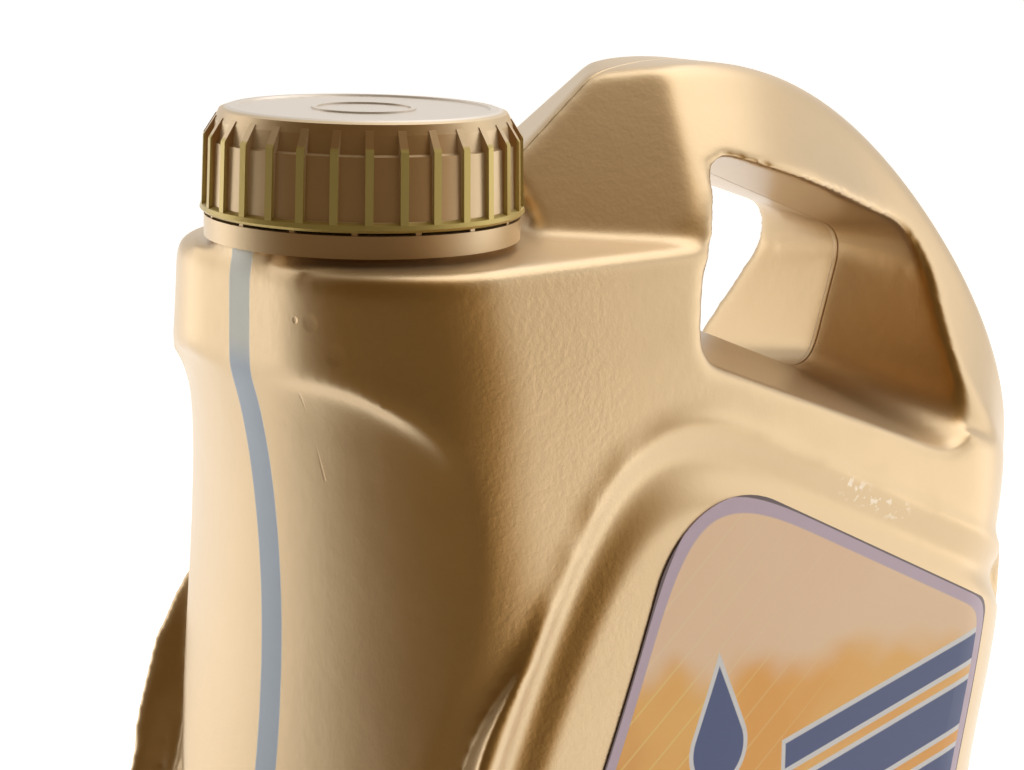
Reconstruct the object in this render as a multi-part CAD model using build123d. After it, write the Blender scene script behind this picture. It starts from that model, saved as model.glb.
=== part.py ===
from build123d import *
import math
import os

# Four-litre blow-moulded oil bottle with a side handle, a flat shoulder and a ribbed screw cap.
# Millimetres, +Z up. The origin is on the resting plane, at the middle of the bottle's length.
# +X points from the pouring front, under the neck, to the handle's back. The mould parts on Y = 0.

# Overall sizes of the blow moulding
shoulder_height = 304.4
body_length = 182.5
neck_setback = 30.0
wall = 1.3
neck_x = -body_length / 2 + neck_setback

# The front column under the neck, measured from the neck axis and from the shoulder plane
column_front = -26.0
column_corner_radius = 23.0
shoulder_half_width = 36.4
shoulder_round = 3.0
column_foot_half_width = 34.0

# The broad body under the handle
panel_proud = 1.2
back_corner_radius = 36.0
front_corner_radius = 19.0
base_round = 7.0
base_push_up = 2.5
base_rim_width = 9.0

# The grip recess in the front column
recess_half_width = 43.0
recess_arch_radius = 23.0
recess_top_drop = 19.9
recess_step_slope = 0.12
recess_root_x = -21.0

# The handle ring, a rounded bar bent about one centre
ring_centre_x = 72.0
ring_centre_drop = 51.4
ring_radius = 80.5
prow_root_x = 37.5
prow_root_rise = 15.1
prow_normal = (-0.548, 0.444, 0.709)
prow_neck_clearance = 4.0

# The finger hole
rim_reach = 50.0
cut_reach = 60.0

# The neck
neck_radius = 22.3
neck_bore_radius = 19.8
collar_radius = 25.6
collar_height = 1.1
collar_depth = 3.5
retaining_bead_radius = 24.3
retaining_bead_height = 1.3

# The cap
flange_radius = 28.0
flange_height = 1.2
flange_lift = 5.6
cap_height = 17.8
skirt_radius = 26.9
skirt_top_radius = 26.5
ledge_height = 12.2
crown_radius = 25.5
crown_round = 2.2
rib_radius = 27.75
rib_count = 30
rib_width = 1.35
rib_top_height = 16.3
rib_phase = 5.9
cap_top_thickness = 1.6
cap_bore_radius = 23.9
top_recess_radius = 21.8
top_recess_depth = 0.35
top_ring_radius = 9.0
top_ring_width = 0.9

# The tamper ring under the cap
band_radius = 27.3
band_low = 1.3
band_height = 3.75
band_bore_radius = 25.2
hook_radius = 23.3
hook_height = 1.0
hook_clearance = 0.3
bridge_count = 16
bridge_phase = 4.0
bridge_width = 1.0
bridge_clearance = 0.08

# The sealing wad in the cap
liner_radius = 23.7
liner_thickness = 1.2

# The neck's rim meets the sealing wad
neck_height = flange_lift + cap_height - cap_top_thickness - liner_thickness

# The labels: thickness, and the outline's corners from the neck axis and the shoulder plane
label_thickness = 0.3
label_corners = [(-8.4, -139.0), (38.5, -36.1), (122.5, -76.4), (110.0, -132.0), (110.0, -262.0), (-8.4, -262.0)]
label_rounds = [40, 23, 4, 40, 8, 8]


def place(dx, dz):
    """A point of the side view, from the neck axis and the shoulder plane, in the part's own X and Z."""
    return neck_x + dx, shoulder_height + dz


def closed_outline(points, radii):
    """A closed outline with one rounding radius at each corner."""
    return FilletPolyline(*points, radius=radii, close=True)


def plan_section(dz, front, back, half, front_radius, back_radius):
    """A horizontal slice through the body: a rectangle with its own corner radii in front and behind."""
    x_front, z = place(front, dz)
    x_back = neck_x + back
    points = [(x_front, -half), (x_back, -half), (x_back, half), (x_front, half)]
    radii = [front_radius, back_radius, back_radius, front_radius]
    face = make_face(closed_outline(points, radii).edges())
    return Location((0, 0, z)) * face


def side_sheet(points, radii, reach=80.0):
    """A side-view outline, in offsets from neck axis and shoulder, extruded across the whole bottle."""
    spots = [Vector(*place(dx, dz)) for dx, dz in points]
    outline = closed_outline([(p.X, p.Y) for p in spots], radii)
    face = Plane.XZ * make_face(outline.edges())
    return extrude(face, amount=reach, both=True)


# Drop below the shoulder, half width, front corner radius, back end and back corner radius of the column
column_levels = [
    (0.0, 36.4, 26.0, 146.0, 32.4),
    (-15.0, 39.3, 28.4, 148.4, 34.0),
    (-30.0, 41.6, 28.4, 149.6, 33.0),
    (-45.0, 43.4, 28.9, 150.0, 31.0),
    (-60.0, 45.0, 33.0, 147.5, 30.0),
    (-75.0, 46.0, 37.3, 144.0, 32.0),
    (-90.0, 46.6, 39.8, 139.0, 35.0),
    (-105.0, 46.85, 41.3, 134.5, 38.0),
    (-120.0, 46.95, 42.4, 132.0, 40.0),
    (-135.0, 47.0, 43.0, 131.0, 42.0),
    (-150.0, 47.0, 43.0, 131.0, 43.0),
]


def column(inset):
    """The shoulder block and the column below it, which rounds off more and more in front."""
    slices = []
    for dz, half, corner, back, back_corner in column_levels:
        height = dz - inset if dz == 0.0 else dz
        slices.append(plan_section(height, column_front + inset, back - inset, half - inset,
                                   corner - inset, back_corner - inset))
    block = loft(slices)
    if inset == 0.0:
        top = block.faces().sort_by(Axis.Z)[-1]
        block = fillet(top.edges(), shoulder_round)
    outline = [(-60, 20), (63, 20), (63, -1), (111, -21), (113, -40 - inset), (190, -68 - inset),
               (190, -170), (-60, -170)]
    return block & side_sheet(outline, [1, 1, 3, 3, 3, 1, 1, 1])


# Drop below the shoulder, half width and back end of the broad body where it curves
body_levels = [
    (-150.0, 47.2, 140.0),
    (-135.0, 47.2, 140.0),
    (-120.0, 47.2, 140.8),
    (-105.0, 47.1, 143.3),
    (-90.0, 46.8, 147.0),
    (-75.0, 46.2, 149.0),
    (-60.0, 45.1, 149.0),
    (-45.0, 43.5, 148.0),
    (-30.0, 41.6, 147.0),
    (-15.0, 39.5, 146.0),
]


def broad_body(extra):
    """The lower body's full block; extra stands proud of the side wall, or is negative for the inside."""
    front = -neck_setback - min(extra, 0)
    slices = []
    for dz, half, back in body_levels:
        slices.append(plan_section(dz, front, back + extra, half + extra,
                                   front_corner_radius + min(extra, 0), back_corner_radius + min(extra, 0)))
    upper = loft(slices)
    straight = extrude(slices[0], amount=-(shoulder_height - 150.0))
    sole = straight.faces().sort_by(Axis.Z)[0]
    straight = fillet(sole.edges(), base_round + min(extra, 0))
    return straight + upper


# The broad body's side view: its front edge, apex and falling top edge, at the panel and on the parting line
panel_edge = [(-31.0, -170.0), (-30.5, -160.0), (-19.0, -101.0), (-11.0, -76.5), (26.5, -19.5), (140.5, -70.5),
              (165.0, -105.0)]
panel_edge_lean = [0.0, 0.0, 4.5, 3.5, 0.0, 0.0, 0.0]
panel_edge_rounds = [60, 60, 40, 40, 33, 10, 1]
panel_half_width = 47.0
lean_depth = 6.5


def panel_gate(margin):
    """What bounds the broad body in the side view; its front edge leans back behind the panel's edge."""
    halves = []
    for side in (-1, 1):
        faces = []
        for reach in (0.0, 64.0):
            shift = (panel_half_width - reach) / lean_depth
            points = [(x + lean * shift + margin * (0.4 if x > 20 else 1.0), z - margin * (1.5 if x > 20 else 0.0))
                      for (x, z), lean in zip(panel_edge, panel_edge_lean)]
            low = -shoulder_height - 20
            points = [(points[0][0], low)] + points[1:] + [(points[-1][0], low)]
            spots = [place(x, z) for x, z in points]
            rounds = [1] + panel_edge_rounds[1:] + [1]
            face = make_face(closed_outline(spots, rounds).edges())
            faces.append(Location((0, side * reach, 0)) * (Plane.XZ * face))
        halves.append(loft(faces, ruled=True))
    return halves[0] + halves[1]


def handle_ring(inset):
    """The handle's outer form: sections turned about the ring's centre, roof-shaped in front, full behind."""
    # angle, inner half width, knee radius, knee half width, crown half width, knee round, crown round
    stations = [
        (134, 33.0, 55.5, 37.4, 9.5, 12, 7),
        (108, 33.0, 55.5, 37.1, 9.5, 12, 7),
        (82, 33.0, 60.0, 29.0, 11.5, 11, 8),
        (54, 31.0, 61.0, 23.8, 13.2, 10, 9),
        (28, 37.0, 57.0, 30.8, 20.5, 14, 9),
        (4, 40.0, 58.0, 41.8, 27.0, 12, 14),
        (-16, 39.4, 55.0, 40.4, 22.0, 12, 14),
        (-34, 38.0, 52.0, 39.0, 17.5, 12, 14),
    ]
    x, z = place(ring_centre_x, -ring_centre_drop)
    sections = []
    for angle, inner, knee_r, knee, crown, knee_round, crown_round_ in stations:
        turn = math.radians(angle)
        plane = Plane(origin=(x, 0, z), x_dir=(math.cos(turn), 0, math.sin(turn)),
                      z_dir=(-math.sin(turn), 0, math.cos(turn)))
        outer = ring_radius - inset
        points = [(36, -inner + inset), (knee_r, -knee + inset), (outer, -crown + inset * 0.6),
                  (outer, crown - inset * 0.6), (knee_r, knee - inset), (36, inner - inset)]
        radii = [2, knee_round, crown_round_, crown_round_, knee_round, 2]
        sections.append(plane * make_face(closed_outline(points, radii).edges()))
    return loft(sections)


def prow_cut(ring, inset):
    """Trim the ring's front to two sloping planes that meet on the parting line, clear of the cap."""
    x, z = place(prow_root_x + inset * 1.3, prow_root_rise - inset * 1.3)
    for side in (-1, 1):
        normal = Vector(prow_normal[0], side * prow_normal[1], prow_normal[2])
        ring = split(ring, bisect_by=Plane(origin=(x, 0, z), z_dir=normal), keep=Keep.BOTTOM)
    top = Location((neck_x, 0, shoulder_height - 2 * inset - 0.01))
    clear = flange_radius + prow_neck_clearance + inset
    return ring - top * Cylinder(clear, 80, align=(Align.CENTER, Align.CENTER, Align.MIN))


def recess_cutter(inset):
    """What the grip recess removes: everything in front of a gently convex wall, under a rounded arch."""
    # drop, wall position on the parting line, radius of the wall in plan
    rows = [(-14.0, -28.5, 60), (-25.0, -24.2, 61), (-42.0, -20.9, 70), (-60.0, -19.4, 82), (-78.0, -19.5, 100),
            (-96.0, -21.0, 120), (-120.0, -25.0, 150), (-150.0, -31.0, 200)]
    reach = 56.0
    slices = []
    for dz, wall_x, radius in rows:
        x = neck_x + wall_x + inset
        edge_x = x + radius - math.sqrt(radius**2 - reach**2)
        front = neck_x - 70
        arc = ThreePointArc((edge_x, -reach), (x, 0), (edge_x, reach))
        rest = Polyline((edge_x, reach), (front, reach), (front, -reach), (edge_x, -reach))
        slices.append(Location((0, 0, shoulder_height + dz)) * make_face(arc.edges() + rest.edges()))
    bulk = loft(slices)
    half = recess_half_width + inset
    foot = shoulder_height - 150
    arches = []
    for dx in (-70.0, 10.0):
        top = shoulder_height - recess_top_drop + inset - (dx - recess_root_x) * recess_step_slope
        arch = closed_outline([(-half, foot), (half, foot), (half, top), (-half, top)],
                              [1, 1, recess_arch_radius, recess_arch_radius])
        arches.append(Location((neck_x + dx, 0, 0)) * (Plane.YZ * make_face(arch.edges())))
    return bulk & loft(arches, ruled=True)


# The finger hole in the side view: the throat on the parting line, and the rim at rim_reach from it
throat = [(66.0, 13.5), (127.6, -8.6), (118.4, -37.4), (58.0, -14.4), (60.0, 0.0)]
throat_rounds = [7, 6, 6, 6, 9]
rim = [(56.6, 16.0), (130.6, -2.0), (123.0, -50.8), (40.9, -21.3), (43.0, -8.0)]
rim_rounds = [5, 24, 14, 6, 10]


def finger_hole(margin):
    """The hole through the handle, opening out from the parting line to both sides."""
    halves = []
    for side in (-1, 1):
        scale = cut_reach / rim_reach
        outer = [(a + (p - a) * scale, b + (q - b) * scale) for (a, b), (p, q) in zip(throat, rim)]
        faces = []
        for points, rounds, y in ((throat, throat_rounds, 0.0), (outer, rim_rounds, side * cut_reach)):
            spots = [place(dx, dz) for dx, dz in points]
            face = make_face(closed_outline(spots, rounds).edges())
            if margin:
                face = offset(face, amount=margin)
            faces.append(Location((0, y, 0)) * (Plane.XZ * face))
        halves.append(loft(faces, ruled=True))
    return halves[0] + halves[1]


def bottle_form(inset):
    """The blow moulding's outer form, or with an inset the hollow inside it."""
    lower = broad_body(panel_proud if inset == 0 else -inset) & panel_gate(inset)
    form = column(inset) + lower
    form = form + prow_cut(handle_ring(inset), inset)
    if inset:
        floor = Location((0, 0, inset)) * Box(400, 200, 50, align=(Align.CENTER, Align.CENTER, Align.MAX))
        form = form - floor
    return form - recess_cutter(inset) - finger_hole(inset)


def base_hollow(inset):
    """The shallow push-up under the base, which leaves a rim to stand on."""
    face = plan_section(-shoulder_height, -neck_setback + base_rim_width, 140.0 - base_rim_width,
                        47.2 - base_rim_width, 16, 26)
    if inset:
        face = offset(face, amount=inset)
    return extrude(face, amount=base_push_up + inset, taper=20)


def ring_of(outer, inner, low, high):
    """A plain ring about the neck axis between two heights above the shoulder."""
    height = high - low
    base = Location((neck_x, 0, shoulder_height + low))
    align = (Align.CENTER, Align.CENTER, Align.MIN)
    return base * (Cylinder(outer, height, align=align) - Cylinder(inner, height, align=align))


def build_bottle():
    body = bottle_form(0.0)
    collar_top = collar_height
    body = body + ring_of(collar_radius, 1, -collar_depth, collar_top) + ring_of(neck_radius, 1, -1.0, neck_height)
    bead_low = band_low + hook_height + hook_clearance
    body = body + ring_of(retaining_bead_radius, 1, bead_low, bead_low + retaining_bead_height)
    body = body - (bottle_form(wall) - base_hollow(wall)) - base_hollow(0.0)
    bore = Location((neck_x, 0, shoulder_height - wall - 2))
    return body - bore * Cylinder(neck_bore_radius, 60, align=(Align.CENTER, Align.CENTER, Align.MIN))


def build_cap():
    low = flange_lift
    top = low + cap_height
    ledge = low + ledge_height
    points = [(cap_bore_radius, low), (flange_radius - 0.5, low), (flange_radius, low + 0.5),
              (flange_radius - 0.2, low + flange_height), (skirt_radius, low + flange_height + 0.5),
              (skirt_top_radius, ledge), (crown_radius + 0.35, ledge + 0.3), (crown_radius, top - crown_round),
              (crown_radius - 0.8, top - 0.55), (crown_radius - 2.3, top), (top_recess_radius, top),
              (top_recess_radius - 0.3, top - top_recess_depth), (0, top - top_recess_depth),
              (0, top - cap_top_thickness), (cap_bore_radius, top - cap_top_thickness)]
    profile = Plane.XZ * make_face(Polyline(*points, close=True).edges())
    shell = revolve(profile, axis=Axis.Z)
    ring = Cylinder(top_ring_radius, 0.3, align=(Align.CENTER, Align.CENTER, Align.MIN))
    ring = ring - Cylinder(top_ring_radius - top_ring_width, 0.3, align=(Align.CENTER, Align.CENTER, Align.MIN))
    shell = shell + Location((0, 0, top - top_recess_depth)) * ring
    rib_low = low + flange_height - 0.3
    rib_profile = [(skirt_top_radius - 0.8, rib_low), (rib_radius, rib_low), (rib_radius - 0.35, ledge + 0.8),
                   (crown_radius - 0.2, low + rib_top_height), (crown_radius - 1.2, low + rib_top_height),
                   (crown_radius - 1.2, ledge - 1), (skirt_top_radius - 0.8, ledge - 1)]
    blade = Plane.XZ * make_face(Polyline(*rib_profile, close=True).edges())
    rib = extrude(blade, amount=rib_width / 2, both=True)
    for index in range(rib_count):
        turn = index * 360 / rib_count + rib_phase
        shell = shell + Rot(0, 0, turn) * rib
    return Location((neck_x, 0, shoulder_height)) * shell


def build_tamper_ring():
    """The band that stays on the neck, with the stubs of its bridges just short of the cap's flange."""
    band = ring_of(band_radius, band_bore_radius, band_low, band_low + band_height)
    band = band + ring_of(band_bore_radius + 0.5, hook_radius, band_low, band_low + hook_height)
    top = shoulder_height + band_low + band_height
    rise = flange_lift - band_low - band_height - bridge_clearance
    for index in range(bridge_count):
        stub = Location((band_radius - 0.9, 0, 0)) * Box(1.2, bridge_width, rise + 0.4,
                                                         align=(Align.CENTER, Align.CENTER, Align.MIN))
        turn = index * 360 / bridge_count + bridge_phase
        band = band + Location((neck_x, 0, top - 0.4)) * Rot(0, 0, turn) * stub
    return band


def build_liner():
    return ring_of(liner_radius, 0, neck_height, neck_height + liner_thickness)


def build_labels():
    """The two printed films, lying on the broad sides' panels."""
    film = broad_body(panel_proud + label_thickness) - broad_body(panel_proud)
    film = film & side_sheet(label_corners, label_rounds)
    films = film.solids().sort_by(Axis.Y)
    return films[0], films[-1]


front_label, back_label = build_labels()
nodes = {
    "bottle": build_bottle(),
    "cap": build_cap(),
    "tamper_ring": build_tamper_ring(),
    "cap_liner": build_liner(),
    "front_label": front_label,
    "back_label": back_label,
}
os.makedirs("parts", exist_ok=True)
for name, shape in nodes.items():
    print(name, shape.is_valid, len(shape.solids()), round(shape.volume / 1000, 2))
    export_step(shape, f"parts/{name}.step")
print("inside litres", round(bottle_form(wall).volume / 1e6, 3))
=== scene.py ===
"""Looks of the four-litre oil bottle: pearl gold moulding, ribbed screw cap, printed label, studio."""

import math

import bmesh
import bpy
from mathutils import Matrix, Vector


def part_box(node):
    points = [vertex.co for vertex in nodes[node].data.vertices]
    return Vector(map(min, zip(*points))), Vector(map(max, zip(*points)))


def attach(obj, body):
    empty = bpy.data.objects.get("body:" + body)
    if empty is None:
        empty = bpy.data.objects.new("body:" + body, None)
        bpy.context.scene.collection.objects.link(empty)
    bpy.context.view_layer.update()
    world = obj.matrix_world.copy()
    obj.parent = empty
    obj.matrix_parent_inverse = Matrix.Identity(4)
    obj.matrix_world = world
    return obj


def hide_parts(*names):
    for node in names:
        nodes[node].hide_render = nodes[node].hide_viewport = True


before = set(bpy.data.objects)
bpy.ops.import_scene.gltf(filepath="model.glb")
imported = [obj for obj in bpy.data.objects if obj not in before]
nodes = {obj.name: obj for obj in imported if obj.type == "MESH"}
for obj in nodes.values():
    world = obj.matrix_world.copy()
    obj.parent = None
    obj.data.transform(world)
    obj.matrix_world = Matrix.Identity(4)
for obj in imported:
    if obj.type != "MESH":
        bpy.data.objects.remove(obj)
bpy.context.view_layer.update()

MM = 0.001
WHITE = (1.0, 1.0, 1.0)

# Places that every piece shares, in metres
cap_low, cap_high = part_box("cap")
NECK_X = (cap_low[0] + cap_high[0]) / 2
FLANGE_Z = cap_low[2]
FLANGE_RADIUS = 28 * MM
SHOULDER_Z = FLANGE_Z - 0.0056

# Where the cap's tones change: millimetres above the shoulder plane, and from the neck axis for each reach
CAP_TOP = (cap_high[2] - SHOULDER_Z) * 1000
CAP_TOP_RISE = (CAP_TOP - 0.9, CAP_TOP - 0.5)
CAP_ABOVE_RING = (5.3, 5.5)
CAP_RIB_REACH = (26.9, 27.2)
CAP_DISC_REACH = (23.6, 24.4)

# The crest round the label's panel in the side view: millimetres from the neck axis and the shoulder plane
PANEL_EDGE = (
    (-31, -290), (-31, -170), (-30.5, -160), (-19, -101), (-11, -76.5), (26.5, -19.5), (140.5, -70.5),
)
PANEL_SOFT = (4, 8, 8, 12, 45)
BROAD_SIDE = 38 * MM
GROOVE_WIDTH = 13.5
GROOVE_DEPTH = 2.1 * MM

# The skin's mesh
BORE_RADIUS = 19.8 * MM
NECK_KEPT_RADIUS = 29 * MM
SKIN_VOXEL = 0.85 * MM
SKIN_SOFTENING = 26
GROOVE_SOFTENING = 8
SKIN_TRIANGLES = 180000

# The camera as it was fitted to the photograph; its distance and its two shifts are in flange radii
CAMERA_PITCH = math.radians(12.3)
CAMERA_ROLL = math.radians(-1.4)
CAMERA_TURN = math.radians(42)
CAMERA_DISTANCE = 14.5
CAMERA_RIGHT = -0.92
CAMERA_UP = 1.083
FOCAL_PIXELS = 2350
IMAGE_WIDTH = 1024
SENSOR_WIDTH = 36


def make_active(obj):
    bpy.ops.object.select_all(action="DESELECT")
    obj.select_set(True)
    bpy.context.view_layer.objects.active = obj


def copy_of(name, new_name):
    """An own copy of a CAD node's mesh, unparented, with its doubles merged."""
    obj = nodes[name].copy()
    obj.data = nodes[name].data.copy()
    bpy.context.scene.collection.objects.link(obj)
    obj.parent = None
    obj.matrix_world = Matrix.Identity(4)
    obj.name = new_name
    make_active(obj)
    bpy.ops.object.mode_set(mode="EDIT")
    bpy.ops.mesh.select_all(action="SELECT")
    bpy.ops.mesh.remove_doubles(threshold=0.00001)
    bpy.ops.mesh.customdata_custom_splitnormals_clear()
    bpy.ops.object.mode_set(mode="OBJECT")
    return obj


def apply_modifier(obj, kind, **settings):
    modifier = obj.modifiers.new(kind.lower(), kind)
    for key, value in settings.items():
        setattr(modifier, key, value)
    make_active(obj)
    bpy.ops.object.modifier_apply(modifier=modifier.name)


def place_camera():
    """Stand the camera at the photograph's place and return that place."""
    forward = Vector((0, math.cos(CAMERA_PITCH), -math.sin(CAMERA_PITCH)))
    level_up = Vector((0, math.sin(CAMERA_PITCH), math.cos(CAMERA_PITCH)))
    level_right = Vector((1, 0, 0))
    right = math.cos(CAMERA_ROLL) * level_right - math.sin(CAMERA_ROLL) * level_up
    up = math.sin(CAMERA_ROLL) * level_right + math.cos(CAMERA_ROLL) * level_up
    spot = -(CAMERA_RIGHT * right + CAMERA_UP * up + CAMERA_DISTANCE * forward)
    turn = Matrix.Rotation(-CAMERA_TURN, 3, "Z")
    camera_data = bpy.data.cameras.new("photo_camera")
    camera_data.sensor_width = SENSOR_WIDTH
    camera_data.lens = SENSOR_WIDTH * FOCAL_PIXELS / IMAGE_WIDTH
    camera_data.clip_start = 0.01
    camera = bpy.data.objects.new("photo_camera", camera_data)
    bpy.context.scene.collection.objects.link(camera)
    place = turn @ (spot * FLANGE_RADIUS) + Vector((NECK_X, 0, FLANGE_Z))
    axes = Matrix((turn @ right, turn @ up, turn @ -forward)).transposed()
    camera.matrix_world = Matrix.Translation(place) @ axes.to_4x4()
    bpy.context.scene.camera = camera
    return place


camera_place = place_camera()


# Materials
def new_material(name):
    material = bpy.data.materials.new(name)
    material.use_nodes = True
    tree = material.node_tree
    return material, tree, tree.nodes["Principled BSDF"]


def node(tree, kind, **settings):
    made = tree.nodes.new(kind)
    for key, value in settings.items():
        setattr(made, key, value)
    return made


def feed(tree, socket, value):
    """Set a socket to a number or a colour, or link it to another socket."""
    if isinstance(value, (int, float)):
        socket.default_value = value
    elif isinstance(value, tuple):
        socket.default_value = (*value, 1)
    else:
        tree.links.new(value, socket)


def math_node(tree, operation, a, b=None, c=None, clamp=False):
    made = node(tree, "ShaderNodeMath", operation=operation, use_clamp=clamp)
    for socket, value in zip(made.inputs, (a, b, c)):
        if value is not None:
            feed(tree, socket, value)
    return made.outputs[0]


def times(tree, a, b):
    return math_node(tree, "MULTIPLY", a, b)


def length_of(tree, a, b):
    """The length of a flat vector with the components a and b."""
    return math_node(tree, "SQRT", math_node(tree, "ADD", times(tree, a, a), times(tree, b, b)))


def noise(tree, vector, scale, detail, rough):
    made = node(tree, "ShaderNodeTexNoise")
    tree.links.new(vector, made.inputs["Vector"])
    feed(tree, made.inputs["Scale"], scale)
    feed(tree, made.inputs["Detail"], detail)
    feed(tree, made.inputs["Roughness"], rough)
    return made.outputs["Fac"]


def mix_color(tree, factor, a, b):
    made = node(tree, "ShaderNodeMix", data_type="RGBA")
    for socket, value in ((made.inputs[0], factor), (made.inputs[6], a), (made.inputs[7], b)):
        feed(tree, socket, value)
    return made.outputs[2]


def object_coordinates(tree):
    return node(tree, "ShaderNodeTexCoord").outputs["Object"]


def ramp(tree, value, low, high, out_low=0.0, out_high=1.0):
    """Map value from low..high smoothly onto out_low..out_high, held at both ends."""
    made = node(tree, "ShaderNodeMapRange", interpolation_type="SMOOTHSTEP")
    made.inputs["From Min"].default_value = low
    made.inputs["From Max"].default_value = high
    made.inputs["To Min"].default_value = out_low
    made.inputs["To Max"].default_value = out_high
    tree.links.new(value, made.inputs["Value"])
    return made.outputs["Result"]


# Effects that several materials share, each a node group
def new_group(name, inputs, outputs):
    """A shader node group with named sockets, and its inner input and output nodes' sockets."""
    group = bpy.data.node_groups.new(name, "ShaderNodeTree")
    for in_out, sockets in (("INPUT", inputs), ("OUTPUT", outputs)):
        for label, kind in sockets.items():
            group.interface.new_socket(name=label, in_out=in_out, socket_type="NodeSocket" + kind)
    return group, node(group, "NodeGroupInput").outputs, node(group, "NodeGroupOutput").inputs


def placed(tree, group, values):
    """Place a group in a material with its own values and return its outputs."""
    made = node(tree, "ShaderNodeGroup", node_tree=group)
    for label, value in values.items():
        feed(tree, made.inputs[label], value)
    return made.outputs


def millimetre_group():
    """Millimetres from the neck axis, from the parting line and from the shoulder plane."""
    group, given, out = new_group("millimetres", {"Where": "Vector"},
                                  {"Along": "Float", "Across": "Float", "Up": "Float"})
    split = node(group, "ShaderNodeSeparateXYZ")
    group.links.new(given["Where"], split.inputs[0])
    along = math_node(group, "MULTIPLY_ADD", split.outputs[0], 1000, -1000 * NECK_X)
    up = math_node(group, "MULTIPLY_ADD", split.outputs[2], 1000, -1000 * SHOULDER_Z)
    group.links.new(along, out["Along"])
    group.links.new(times(group, split.outputs[1], 1000), out["Across"])
    group.links.new(up, out["Up"])
    return group


def cloud_group():
    """A colour that darkens in soft clouds down to a share of itself."""
    group, given, out = new_group("clouds", {"Where": "Vector", "Tone": "Color", "Share": "Float"},
                                  {"Tone": "Color"})
    darker = node(group, "ShaderNodeVectorMath", operation="SCALE")
    group.links.new(given["Tone"], darker.inputs[0])
    group.links.new(given["Share"], darker.inputs["Scale"])
    cloud = noise(group, given["Where"], 60, 3, 0.6)
    group.links.new(mix_color(group, cloud, given["Tone"], darker.outputs[0]), out["Tone"])
    return group


def grain_group():
    """The fine grain of moulded plastic, as a height."""
    group, given, out = new_group("grain", {"Where": "Vector", "Scale": "Float", "Roughness": "Float"},
                                  {"Height": "Float"})
    group.links.new(noise(group, given["Where"], given["Scale"], 2, given["Roughness"]), out["Height"])
    return group


def pearl_group():
    """Pearl pigment, deep where it faces the eye and pale where it turns away, and a second tone by mask."""
    group, given, out = new_group(
        "pearl",
        {"Facing": "Float", "Deep": "Color", "Pale": "Color", "Mask": "Float", "Other": "Color"},
        {"Tone": "Color"},
    )
    turned = ramp(group, given["Facing"], 0.08, 0.36)
    tone = mix_color(group, turned, given["Deep"], given["Pale"])
    group.links.new(mix_color(group, given["Mask"], tone, given["Other"]), out["Tone"])
    return group


MILLIMETRES = millimetre_group()
CLOUDS = cloud_group()
GRAIN = grain_group()
PEARL = pearl_group()


def position(tree):
    """Object coordinates, and the same in the bottle's own millimetres."""
    where = object_coordinates(tree)
    out = placed(tree, MILLIMETRES, {"Where": where})
    return where, out["Along"], out["Across"], out["Up"]


def clouded(tree, where, tone, share):
    return placed(tree, CLOUDS, {"Where": where, "Tone": tone, "Share": share})["Tone"]


def grain(tree, where, scale, rough):
    return placed(tree, GRAIN, {"Where": where, "Scale": scale, "Roughness": rough})["Height"]


def pearl(tree, bsdf, deep, pale, mask, other):
    """Give a material the pearl pigment; the Layer Weight node stays in the material itself."""
    facing = node(tree, "ShaderNodeLayerWeight")
    facing.inputs["Blend"].default_value = 0.5
    values = {"Facing": facing.outputs["Facing"], "Deep": deep, "Pale": pale, "Mask": mask, "Other": other}
    tree.links.new(placed(tree, PEARL, values)["Tone"], bsdf.inputs["Base Color"])


def surface_bump(tree, bsdf, height, distance):
    bump = node(tree, "ShaderNodeBump")
    bump.inputs["Strength"].default_value = 1.0
    bump.inputs["Distance"].default_value = distance
    tree.links.new(height, bump.inputs["Height"])
    tree.links.new(bump.outputs["Normal"], bsdf.inputs["Normal"])


def finish(bsdf, rough, coat, coat_rough):
    bsdf.inputs["Roughness"].default_value = rough
    bsdf.inputs["Coat Weight"].default_value = coat
    bsdf.inputs["Coat Roughness"].default_value = coat_rough


def near_line(tree, where, start, end, radius):
    """A soft mask round the line between two points of the bottle's own millimetres."""
    spots = [Vector((x * MM + NECK_X, y * MM, z * MM + SHOULDER_Z)) for x, y, z in (start, end)]
    along = spots[1] - spots[0]
    length = max(along.length, 1e-6)
    offset = node(tree, "ShaderNodeVectorMath", operation="SUBTRACT")
    tree.links.new(where, offset.inputs[0])
    offset.inputs[1].default_value = spots[0]
    reach = node(tree, "ShaderNodeVectorMath", operation="DOT_PRODUCT")
    tree.links.new(offset.outputs[0], reach.inputs[0])
    reach.inputs[1].default_value = along / length ** 2
    share = math_node(tree, "ADD", reach.outputs["Value"], 0, clamp=True)
    foot = node(tree, "ShaderNodeVectorMath", operation="SCALE")
    foot.inputs[0].default_value = along
    tree.links.new(share, foot.inputs["Scale"])
    gap = node(tree, "ShaderNodeVectorMath", operation="DISTANCE")
    tree.links.new(offset.outputs[0], gap.inputs[0])
    tree.links.new(foot.outputs[0], gap.inputs[1])
    return ramp(tree, gap.outputs["Value"], radius * 0.3 * MM, radius * MM, 1, 0)


# Wear that the photograph shows: a scuff above the label, a dark speck, two dents, a pock and two scratches
SCUFF_START = (80.4, -44.9, -47.3)
SCUFF_END = (96.2, -45.8, -54.9)
SCUFF_RADIUS = 3.2
SCUFF_TONE = (0.92, 0.88, 0.80)
SPECK = (93.0, -46.5, -62.5)
SPECK_RADIUS = 0.55
SPECK_TONE = (0.16, 0.09, 0.04)

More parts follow.
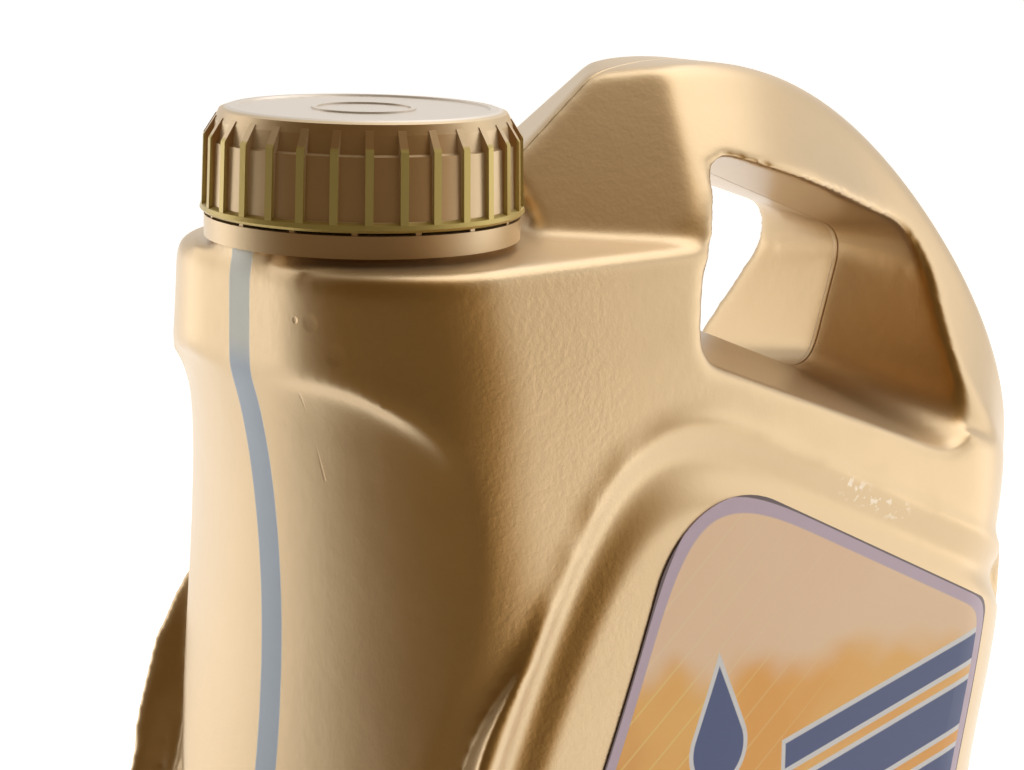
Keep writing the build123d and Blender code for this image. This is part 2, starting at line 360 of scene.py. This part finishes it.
# Each dent's line, radius in millimetres and depth against the grain
DENTS = (
    ((-23.3, -22.8, -13.5), (-23.3, -22.8, -13.5), 2.2, 1.4),
    ((-25.0, -18.2, -8.8), (-25.0, -18.2, -8.8), 1.8, 1.1),
    ((-25.6, -15.0, -8.7), (-25.6, -15.0, -8.7), 0.7, 1.8),
    ((-23.7, -13.9, -21.6), (-19.8, -15.7, -36.3), 0.35, 0.6),
    ((-22.5, -16.5, -24.0), (-20.3, -17.8, -33.0), 0.3, 0.5),
)

DEEP_GOLD = (0.47, 0.25, 0.065)
PALE_GOLD = (0.65, 0.485, 0.285)
GOLD_METALLIC = 0.72
STRIPE_LOW = (0.44, 0.54, 0.68)
STRIPE_HIGH = (0.70, 0.73, 0.68)
STRIPE_BEFORE = -15

# The bottle's relief in one common measure, of which BOTTLE_RELIEF gives the metres
FINE_HEIGHT = 0.3
DIMPLE_HEIGHT = 0.6
LEATHER_HEIGHT = 1.6
SEAM_HEIGHT = 4.0
BOTTLE_RELIEF = 0.00006
CAP_RELIEF = 0.00002


def bottle_height(tree, where, x, side):
    """Fine grain, dimples, the leathery flank, the parting line and the dents, as one height."""
    flank = times(tree, ramp(tree, x, -14, -2), ramp(tree, x, 16, 34, 1, 0))
    flank = times(tree, flank, ramp(tree, side, 30, 38))
    seam = times(tree, ramp(tree, side, 0.25, 0.75, 1, 0), ramp(tree, x, -14, -12))
    leather = times(tree, noise(tree, where, 900, 3, 0.6), flank)
    dimple = times(tree, grain(tree, where, 420, 0.5), DIMPLE_HEIGHT)
    height = math_node(tree, "MULTIPLY_ADD", grain(tree, where, 1500, 0.55), FINE_HEIGHT, dimple)
    height = math_node(tree, "MULTIPLY_ADD", leather, LEATHER_HEIGHT, height)
    height = math_node(tree, "MULTIPLY_ADD", seam, SEAM_HEIGHT, height)
    for start, end, radius, depth in DENTS:
        dent = near_line(tree, where, start, end, radius)
        height = math_node(tree, "MULTIPLY_ADD", dent, -depth, height)
    return height


def bottle_material():
    """Pearl gold moulding with a clear level stripe down the front and a leathery grain."""
    material, tree, bsdf = new_material("bottle_gold")
    where, x, y, z = position(tree)
    side = math_node(tree, "ABSOLUTE", y)
    on_front = math_node(tree, "LESS_THAN", x, STRIPE_BEFORE)
    stripe = times(tree, ramp(tree, side, 2.7, 3.15, 1, 0), on_front)
    stripe_tone = mix_color(tree, ramp(tree, z, -20, -13), STRIPE_LOW, STRIPE_HIGH)
    deep = clouded(tree, where, DEEP_GOLD, 0.86)
    pale = clouded(tree, where, PALE_GOLD, 0.94)
    rubbed = ramp(tree, noise(tree, where, 520, 2, 0.6), 0.52, 0.62)
    scuff = times(tree, near_line(tree, where, SCUFF_START, SCUFF_END, SCUFF_RADIUS), rubbed)
    pale = mix_color(tree, times(tree, scuff, 0.45), pale, SCUFF_TONE)
    pale = mix_color(tree, near_line(tree, where, SPECK, SPECK, SPECK_RADIUS), pale, SPECK_TONE)
    pearl(tree, bsdf, deep, pale, stripe, stripe_tone)
    metal = math_node(tree, "MULTIPLY_ADD", stripe, -GOLD_METALLIC, GOLD_METALLIC)
    tree.links.new(metal, bsdf.inputs["Metallic"])
    finish(bsdf, 0.36, 0.25, 0.25)
    surface_bump(tree, bsdf, bottle_height(tree, where, x, side), BOTTLE_RELIEF)
    return material


CAP_DEEP = (0.40, 0.22, 0.075)
CAP_PALE = (0.66, 0.50, 0.30)
CAP_RIB = (0.50, 0.38, 0.11)
# Painted highlight: the pale tone of the cap's top disc, where light falls on it
CAP_TOP_PAINTED_HIGHLIGHT = (0.72, 0.65, 0.57)


def cap_material():
    """The cap's gold: yellower on the ribs and the flange's edge than on the skirt between them, and a pale
    painted highlight on the top disc.
    """
    material, tree, bsdf = new_material("cap_gold")
    where, x, y, z = position(tree)
    reach = length_of(tree, x, y)
    proud = times(tree, ramp(tree, reach, *CAP_RIB_REACH), ramp(tree, z, *CAP_ABOVE_RING))
    # Painted highlight: the top disc inside this reach takes a pale tone
    top = times(tree, ramp(tree, z, *CAP_TOP_RISE), ramp(tree, reach, *CAP_DISC_REACH, 1, 0))
    rib_tint_and_top_highlight = math_node(tree, "MAXIMUM", proud, top)
    pearl(tree, bsdf, CAP_DEEP, CAP_PALE, rib_tint_and_top_highlight, mix_color(tree, top, CAP_RIB, CAP_TOP_PAINTED_HIGHLIGHT))
    bsdf.inputs["Metallic"].default_value = 0.55
    finish(bsdf, 0.38, 0.2, 0.3)
    surface_bump(tree, bsdf, grain(tree, where, 1200, 0.5), CAP_RELIEF)
    return material


def liner_material():
    material, tree, bsdf = new_material("liner_foam")
    tone = clouded(tree, object_coordinates(tree), (0.8, 0.8, 0.76), 0.9)
    tree.links.new(tone, bsdf.inputs["Base Color"])
    bsdf.inputs["Roughness"].default_value = 0.7
    return material


bottle_gold = bottle_material()
cap_gold = cap_material()


# The bottle's outer skin: the CAD moulding, its sharp steps softened as a blown wall softens them
def inside_panel(x, z):
    """How far in millimetres a point of the side view lies inside the panel's crest, its corners eased."""
    depth = None
    for first, second, soft in zip(PANEL_EDGE, PANEL_EDGE[1:], (0,) + PANEL_SOFT):
        run, rise = second[0] - first[0], second[1] - first[1]
        away = ((x - first[0]) * rise - (z - first[1]) * run) / math.hypot(run, rise)
        if depth is None:
            depth = away
            continue
        blend = max(soft - abs(depth - away), 0) / soft
        depth = min(depth, away) - blend ** 3 * soft / 6
    return depth


def sink_groove(skin):
    """Press the shallow groove between the panel's crest and its plateau into both broad sides."""
    groove = skin.vertex_groups.new(name="groove")
    for vertex in skin.data.vertices:
        spot = vertex.co
        if abs(spot.y) < BROAD_SIDE:
            continue
        depth = inside_panel((spot.x - NECK_X) / MM, (spot.z - SHOULDER_Z) / MM)
        if 0 < depth < GROOVE_WIDTH:
            weight = 0.5 - 0.5 * math.cos(2 * math.pi * depth / GROOVE_WIDTH)
            groove.add([vertex.index], weight, "REPLACE")
    apply_modifier(skin, "DISPLACE", strength=-GROOVE_DEPTH, mid_level=0, vertex_group="groove")


def outer_shell():
    """The bottle's outer surface alone, parted from its cavity at the bore and closed there."""
    shell = copy_of("bottle", "bottle_skin")
    bpy.ops.object.mode_set(mode="EDIT")
    mesh = bmesh.from_edit_mesh(shell.data)
    for face in mesh.faces:
        spot = face.calc_center_median()
        reach = math.hypot(spot.x - NECK_X, spot.y)
        face.select = abs(reach - BORE_RADIUS) < 0.3 * MM and spot.z > SHOULDER_Z - 4 * MM
    bmesh.update_edit_mesh(shell.data)
    bpy.ops.mesh.delete(type="FACE")
    bpy.ops.mesh.separate(type="LOOSE")
    bpy.ops.object.mode_set(mode="OBJECT")
    parts = [obj for obj in bpy.context.selected_objects if obj.type == "MESH"]
    parts.sort(key=lambda obj: -obj.dimensions.length)
    shell = parts[0]
    for spare in parts[1:]:
        bpy.data.objects.remove(spare)
    shell.name = "bottle_skin"
    make_active(shell)
    bpy.ops.object.mode_set(mode="EDIT")
    bpy.ops.mesh.select_all(action="SELECT")
    bpy.ops.mesh.fill_holes(sides=0)
    bpy.ops.mesh.select_all(action="DESELECT")
    bpy.ops.object.mode_set(mode="OBJECT")
    return shell


def build_bottle_skin():
    skin = outer_shell()
    apply_modifier(skin, "REMESH", mode="VOXEL", voxel_size=SKIN_VOXEL, adaptivity=0)
    soft = skin.vertex_groups.new(name="soft")
    for vertex in skin.data.vertices:
        spot = vertex.co
        reach = math.hypot(spot.x - NECK_X, spot.y)
        on_neck = spot.z > SHOULDER_Z - 1 * MM and reach < NECK_KEPT_RADIUS
        soft.add([vertex.index], 0.0 if on_neck else 1.0, "REPLACE")
    apply_modifier(skin, "SMOOTH", factor=0.5, iterations=SKIN_SOFTENING, vertex_group="soft")
    sink_groove(skin)
    apply_modifier(skin, "SMOOTH", factor=0.5, iterations=GROOVE_SOFTENING, vertex_group="soft")
    triangles = sum(len(face.vertices) - 2 for face in skin.data.polygons)
    if triangles > SKIN_TRIANGLES:
        apply_modifier(skin, "DECIMATE", ratio=SKIN_TRIANGLES / triangles)
    make_active(skin)
    bpy.ops.object.shade_smooth()
    skin.data.materials.clear()
    skin.data.materials.append(bottle_gold)
    return skin


bottle_skin = build_bottle_skin()
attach(bottle_skin, "bottle_body")
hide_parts("bottle")


def paint(name, material):
    obj = nodes[name]
    obj.data.materials.clear()
    obj.data.materials.append(material)


paint("cap", cap_gold)
paint("tamper_ring", cap_gold)
paint("cap_liner", liner_material())

# The label's outline in the side view, millimetres from the neck axis and the shoulder plane
LABEL_EDGE = ((-8.4, -262), (-8.4, -139), (38.5, -36.1), (122.5, -76.4))
LABEL_SOFT = (10, 24, 36)
LABEL_RIGHT = ((122.5, -76.4), (110, -132), (110, -262))
LABEL_RIGHT_SOFT = 7
PLUM = (0.085, 0.025, 0.055)
# Painted reflection: the pale plum of the border's upper part, standing in for mirrored light
PLUM_PAINTED_REFLECTION = (0.58, 0.45, 0.56)
PRINT_EDGE = (0.10, 0.05, 0.05)
NAVY = (0.012, 0.040, 0.19)
SILVER = (0.80, 0.80, 0.82)
RUST = (0.66, 0.22, 0.05)
ORANGE = (0.93, 0.42, 0.04)
LIGHT_ORANGE = (0.97, 0.52, 0.10)
LINE_YELLOW = (1.0, 0.72, 0.22)
# Painted reflection: the pale peach that stands in for light mirrored by the label's upper part
PAINTED_SHEEN_PEACH = (0.98, 0.76, 0.56)

# The print's plain shapes: where the bars lie, half their widths, and the drop
DROP_AT = (44, -89)
DROP_RADIUS = 6.5
BAR_SLANT = -10
UPPER_BARS = ((-104, 2.4), (-114.5, 4.2), (-130, 7.0))
UPPER_BARS_FROM = 62
LOWER_BARS = ((-214, 7.0), (-229.5, 4.2), (-240, 2.4))
LOWER_BARS_TO = 46


def slant_distance(tree, x, z, angle, at):
    """Signed distance in millimetres from a slanted line in the label's plane."""
    turn = math.radians(angle)
    along = times(tree, x, math.sin(turn))
    return math_node(tree, "ADD", math_node(tree, "MULTIPLY_ADD", z, math.cos(turn), along), -at)


def inside_line(tree, x, z, first, second):
    """How far a point lies to the right of the line from first to second."""
    run, rise = second[0] - first[0], second[1] - first[1]
    length = math.hypot(run, rise)
    shift = (first[1] * run - first[0] * rise) / length
    along = math_node(tree, "MULTIPLY_ADD", x, rise / length, shift)
    return math_node(tree, "MULTIPLY_ADD", z, -run / length, along)


def inside_label(tree, x, z):
    """How far a point lies inside the label's outline, its corners eased."""
    shoulder, waist, foot = LABEL_RIGHT
    right = math_node(tree, "MAXIMUM", inside_line(tree, x, z, shoulder, waist),
                      inside_line(tree, x, z, waist, foot))
    depth = inside_line(tree, x, z, foot, LABEL_EDGE[0])
    for first, second, soft in zip(LABEL_EDGE, LABEL_EDGE[1:], LABEL_SOFT):
        depth = math_node(tree, "SMOOTH_MIN", depth, inside_line(tree, x, z, first, second), soft)
    return math_node(tree, "SMOOTH_MIN", depth, right, LABEL_RIGHT_SOFT)


def drop_distance(tree, x, z, at, radius):
    """Signed distance from a plain drop that stands on its round end."""
    taper = math.radians(25)
    across = math_node(tree, "ABSOLUTE", math_node(tree, "SUBTRACT", x, at[0]))
    up = math_node(tree, "SUBTRACT", z, at[1])
    round_end = length_of(tree, across, up)
    rising = times(tree, up, math.sin(taper))
    cone = math_node(tree, "MULTIPLY_ADD", across, math.cos(taper), rising)
    on_cone = math_node(tree, "GREATER_THAN", up, radius * math.sin(taper))
    made = node(tree, "ShaderNodeMix", data_type="FLOAT")
    tree.links.new(on_cone, made.inputs[0])
    tree.links.new(round_end, made.inputs[2])
    tree.links.new(cone, made.inputs[3])
    return math_node(tree, "SUBTRACT", made.outputs[0], radius)


def bars(tree, x, z, rows, beyond_end):
    """Signed distances from a row of slanted bars that all stop where beyond_end turns positive."""
    made = []
    for at, half in rows:
        beside = math_node(tree, "ABSOLUTE", slant_distance(tree, x, z, BAR_SLANT, at))
        made.append(math_node(tree, "MAXIMUM", math_node(tree, "SUBTRACT", beside, half), beyond_end))
    return made


def label_field(tree, where, x, z):
    """The orange field: rust at the left, fine slanted lines, and a painted peach reflection above a wavy
    limit.
    """
    waver = math_node(tree, "SUBTRACT", noise(tree, where, 40, 2, 0.5), 0.5)
    limit = math_node(tree, "ADD", math_node(tree, "MULTIPLY_ADD", x, 0.10, z), times(tree, waver, 26))
    # Painted reflection: above this wavy limit the field turns peach, as a mirrored light would make it
    painted_sheen = ramp(tree, limit, -75, -67)
    field = mix_color(tree, ramp(tree, x, -5, 40), RUST, ORANGE)
    patches = ramp(tree, noise(tree, where, 24, 3, 0.5), 0.42, 0.62)
    field = mix_color(tree, patches, field, LIGHT_ORANGE)
    saw = math_node(tree, "PINGPONG", slant_distance(tree, x, z, -34, 0), 2.6)
    fine = times(tree, ramp(tree, saw, 0.1, 0.32, 1, 0), ramp(tree, x, 25, 95, 1, 0))
    field = mix_color(tree, times(tree, fine, 0.6), field, LINE_YELLOW)
    return mix_color(tree, times(tree, painted_sheen, 0.72), field, PAINTED_SHEEN_PEACH)


def label_material():
    """Printed film: a plum border round an orange field with fine slanted lines and plain blue shapes, with
    a painted reflection over the upper part of the field and the border.
    """
    material, tree, bsdf = new_material("label_print")
    where, x, y, z = position(tree)
    tone = label_field(tree, where, x, z)
    shapes = [drop_distance(tree, x, z, DROP_AT, DROP_RADIUS)]
    shapes += bars(tree, x, z, UPPER_BARS, math_node(tree, "SUBTRACT", UPPER_BARS_FROM, x))
    shapes += bars(tree, x, z, LOWER_BARS, math_node(tree, "SUBTRACT", x, LOWER_BARS_TO))
    for shape in shapes:
        tone = mix_color(tree, ramp(tree, shape, 0.9, 1.2, 1, 0), tone, SILVER)
        tone = mix_color(tree, ramp(tree, shape, -0.15, 0.15, 1, 0), tone, NAVY)
    depth = inside_label(tree, x, z)
    # Painted reflection: the border turns pale plum above this height
    border = mix_color(tree, ramp(tree, z, -122, -112), PLUM, PLUM_PAINTED_REFLECTION)
    tone = mix_color(tree, ramp(tree, depth, 2.5, 2.8, 1, 0), tone, border)
    tone = mix_color(tree, ramp(tree, depth, 0.25, 0.5, 1, 0), tone, PRINT_EDGE)
    tree.links.new(tone, bsdf.inputs["Base Color"])
    finish(bsdf, 0.35, 0.2, 0.15)
    return material


label_print = label_material()
paint("front_label", label_print)
paint("back_label", label_print)


# Studio
def area_light(name, place, target, width, height, power, color):
    data = bpy.data.lights.new(name, "AREA")
    data.shape = "RECTANGLE"
    data.size, data.size_y = width, height
    data.energy = power
    data.color = color
    light = bpy.data.objects.new(name, data)
    bpy.context.scene.collection.objects.link(light)
    light.location = place
    light.rotation_euler = (target - place).to_track_quat("-Z", "Y").to_euler()
    light.visible_camera = False


def from_camera(right, back, height):
    """A point by its metres right of the bottle, towards the camera and up, as the camera sees it."""
    side = Vector((math.cos(CAMERA_TURN), -math.sin(CAMERA_TURN), 0))
    near = Vector((-math.sin(CAMERA_TURN), -math.cos(CAMERA_TURN), 0))
    return side * right + near * back + Vector((0, 0, height))


middle = Vector((0, 0, 0.25))
for name, spot, wide, high, power, color in (
    ("left_box", from_camera(-1.0, -0.35, 0.40), 0.6, 1.1, 2.3, (1.0, 0.97, 0.93)),
    ("right_box", from_camera(1.0, -0.25, 0.35), 0.65, 1.1, 2.0, (1.0, 0.97, 0.93)),
    ("top_box", from_camera(0.28, -0.35, 1.15), 0.9, 0.9, 4.2, (1.0, 0.98, 0.96)),
):
    area_light(name, spot, middle, wide, high, power, color)

# The air and the floor behind the bottle are white, and the photographer's side of the room is dark and warm
DARK_SIDE = Matrix.Rotation(math.radians(-14), 3, "Z") @ (camera_place - middle).normalized()
ROOM_WARMTH = (1.0, 0.74, 0.42)
FLOOR_TONE = (0.85, 0.85, 0.85)
FLOOR_DARK_TONE = (0.10, 0.07, 0.04)
FLOOR_GLOW = 0.60


def room_level(tree, direction):
    """How bright the room is in a direction from the bottle: dark on the photographer's side."""
    dot = node(tree, "ShaderNodeVectorMath", operation="DOT_PRODUCT")
    tree.links.new(direction, dot.inputs[0])
    dot.inputs[1].default_value = DARK_SIDE
    return ramp(tree, dot.outputs["Value"], 0.0, 0.60, 0.88, 0.16)


def build_air():
    world = bpy.data.worlds.new("studio_air")
    bpy.context.scene.world = world
    world.use_nodes = True
    air = world.node_tree
    background = air.nodes["Background"]
    camera_ray = node(air, "ShaderNodeLightPath").outputs["Is Camera Ray"]
    heading = node(air, "ShaderNodeTexCoord").outputs["Generated"]
    split = node(air, "ShaderNodeSeparateXYZ")
    air.links.new(heading, split.inputs[0])
    room = times(air, room_level(air, heading), ramp(air, split.outputs[2], 0.3, 1.0, 1.0, 0.9))
    air.links.new(math_node(air, "MAXIMUM", camera_ray, room), background.inputs["Strength"])
    room_tone = mix_color(air, room, ROOM_WARMTH, WHITE)
    air.links.new(mix_color(air, camera_ray, room_tone, WHITE), background.inputs["Color"])


def floor_material():
    """White to the camera but for shadows; in reflections it darkens towards the photographer's side."""
    material, tree, bsdf = new_material("floor_paint")
    from_bottle = node(tree, "ShaderNodeVectorMath", operation="SUBTRACT")
    tree.links.new(object_coordinates(tree), from_bottle.inputs[0])
    from_bottle.inputs[1].default_value = middle
    bearing = node(tree, "ShaderNodeVectorMath", operation="NORMALIZE")
    tree.links.new(from_bottle.outputs[0], bearing.inputs[0])
    level = room_level(tree, bearing.outputs[0])
    rays = node(tree, "ShaderNodeLightPath").outputs
    mirrored = math_node(tree, "MAXIMUM", rays["Is Glossy Ray"], rays["Is Transmission Ray"])
    to_camera = times(tree, rays["Is Camera Ray"], FLOOR_GLOW)
    glow = math_node(tree, "MAXIMUM", to_camera, times(tree, level, mirrored))
    bsdf.inputs["Emission Color"].default_value = (*WHITE, 1)
    tree.links.new(glow, bsdf.inputs["Emission Strength"])
    dimmed = mix_color(tree, level, FLOOR_DARK_TONE, FLOOR_TONE)
    tree.links.new(mix_color(tree, mirrored, FLOOR_TONE, dimmed), bsdf.inputs["Base Color"])
    bsdf.inputs["Roughness"].default_value = 0.7
    return material


build_air()
bpy.ops.mesh.primitive_plane_add(size=30, location=(0, 0, 0))
floor = bpy.context.active_object
floor.name = "floor"
floor.data.materials.append(floor_material())

bpy.context.scene.view_settings.view_transform = "Standard"
